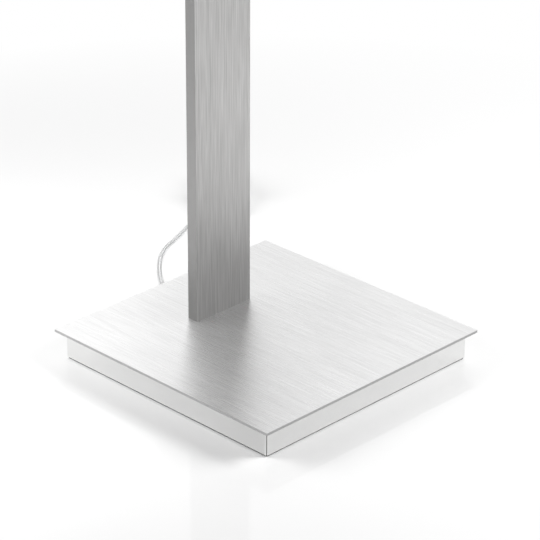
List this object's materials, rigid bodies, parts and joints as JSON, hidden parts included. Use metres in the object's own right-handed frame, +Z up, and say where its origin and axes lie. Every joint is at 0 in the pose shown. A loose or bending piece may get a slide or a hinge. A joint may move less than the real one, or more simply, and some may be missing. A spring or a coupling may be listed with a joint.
{
  "type": "office floor lamp",
  "caption": "Floor lamp with a square brushed plate on a polished plinth, a flat upright column, a tilting LED bar head, a dimmer button and a clear flat cord.",
  "frame": {"origin": "on the floor, at the middle of the floor mat and of the square base", "axes": "+Z up along the column, -Y to the front, where the head reaches, +Y to the rear, where the cord leaves, +X to the lamp's left as it faces you"},
  "size_m": [0.4749, 0.8903, 1.792],
  "materials": {
    "brushed_plate": "brushed along the base's depth",
    "mirror_plinth": "polished",
    "brushed_column": "brushed along its length",
    "brushed_head": "brushed along its length",
    "bright_trim": "polished",
    "cast_zinc": "satin",
    "ballast_steel": "dark primer",
    "zinc_fasteners": "zinc plated",
    "black_sheet": "fine black powder coat",
    "mat_rubber": "matt cellular rubber",
    "black_rubber": "matt",
    "black_plastic": "matt moulded",
    "white_plastic": "matt moulded",
    "circuit_board": "green solder mask",
    "white_board": "white solder mask",
    "led_yellow": "phosphor",
    "friction_fibre": "pressed fibre",
    "wire_blue": "insulation",
    "wire_red": "insulation",
    "opal_acrylic": "opal",
    "clear_cord": "clear vinyl over tinned strands",
    "clear_plug": "clear moulded vinyl",
    "pin_brass": "nickel plated"
  },
  "bodies": {
    "stand": {"top_plate": "brushed_plate", "plate_studs": "zinc_fasteners", "plinth_frame": "mirror_plinth", "flange_nuts": "zinc_fasteners", "ballast_plate": "ballast_steel", "ballast_nuts": "zinc_fasteners", "floor_mat": "mat_rubber", "base_cover": "black_sheet", "cover_spacers": "zinc_fasteners", "cover_screws": "black_sheet", "column_screws": "zinc_fasteners", "column_washers": "zinc_fasteners", "cable_grommet": "black_rubber", "driver_case": "white_plastic", "driver_lid": "white_plastic", "driver_board": "circuit_board", "driver_nuts": "zinc_fasteners", "terminal_block": "white_plastic", "primary_leads": "wire_blue", "clamp_block": "black_plastic", "clamp_bar": "black_plastic", "clamp_screws": "zinc_fasteners", "mains_tail": "clear_cord", "cord_gland": "clear_plug", "column_profile": "brushed_column", "column_cable": "black_rubber", "dimmer_bezel": "bright_trim", "dimmer_spring": "zinc_fasteners", "dimmer_switch": "black_plastic", "dimmer_board": "circuit_board", "dimmer_carrier": "black_plastic", "dimmer_leads": "wire_red", "column_knuckle": "brushed_head", "knuckle_screws": "zinc_fasteners", "hinge_axle": "zinc_fasteners", "axle_set_screw": "zinc_fasteners", "axle_caps": "bright_trim", "friction_washers": "friction_fibre", "cord_run": "clear_cord", "cord_hank": "clear_cord", "hank_tie": "black_plastic", "plug_relief": "clear_plug", "plug_body": "clear_plug", "plug_pins": "pin_brass"},
    "button": {"dimmer_button": "brushed_head"},
    "head": {"hinge_bushes": "black_plastic", "head_bracket": "cast_zinc", "bracket_screws": "zinc_fasteners", "head_housing": "brushed_head", "head_end_cap": "brushed_head", "end_cap_screws": "zinc_fasteners", "heat_spreader": "cast_zinc", "led_board": "white_board", "led_chips": "led_yellow", "board_screws": "zinc_fasteners", "led_connector": "white_plastic", "head_cable": "black_rubber", "diffuser": "opal_acrylic"}
  },
  "joints": [
    {"name": "head_tilt", "type": "hinge", "parent": "stand", "child": "head", "pos_m": [0, 0.0717, 1.784], "axis": [-1, 0, 0], "range_deg": [-20, 90]},
    {"name": "dimmer_press", "type": "slide", "parent": "stand", "child": "button", "axis": [0, 1, 0], "range_m": [0, 0.0012], "stiffness_N_per_m": 700, "springref_m": -0.0012, "deforming": ["dimmer_spring"]}
  ]
}
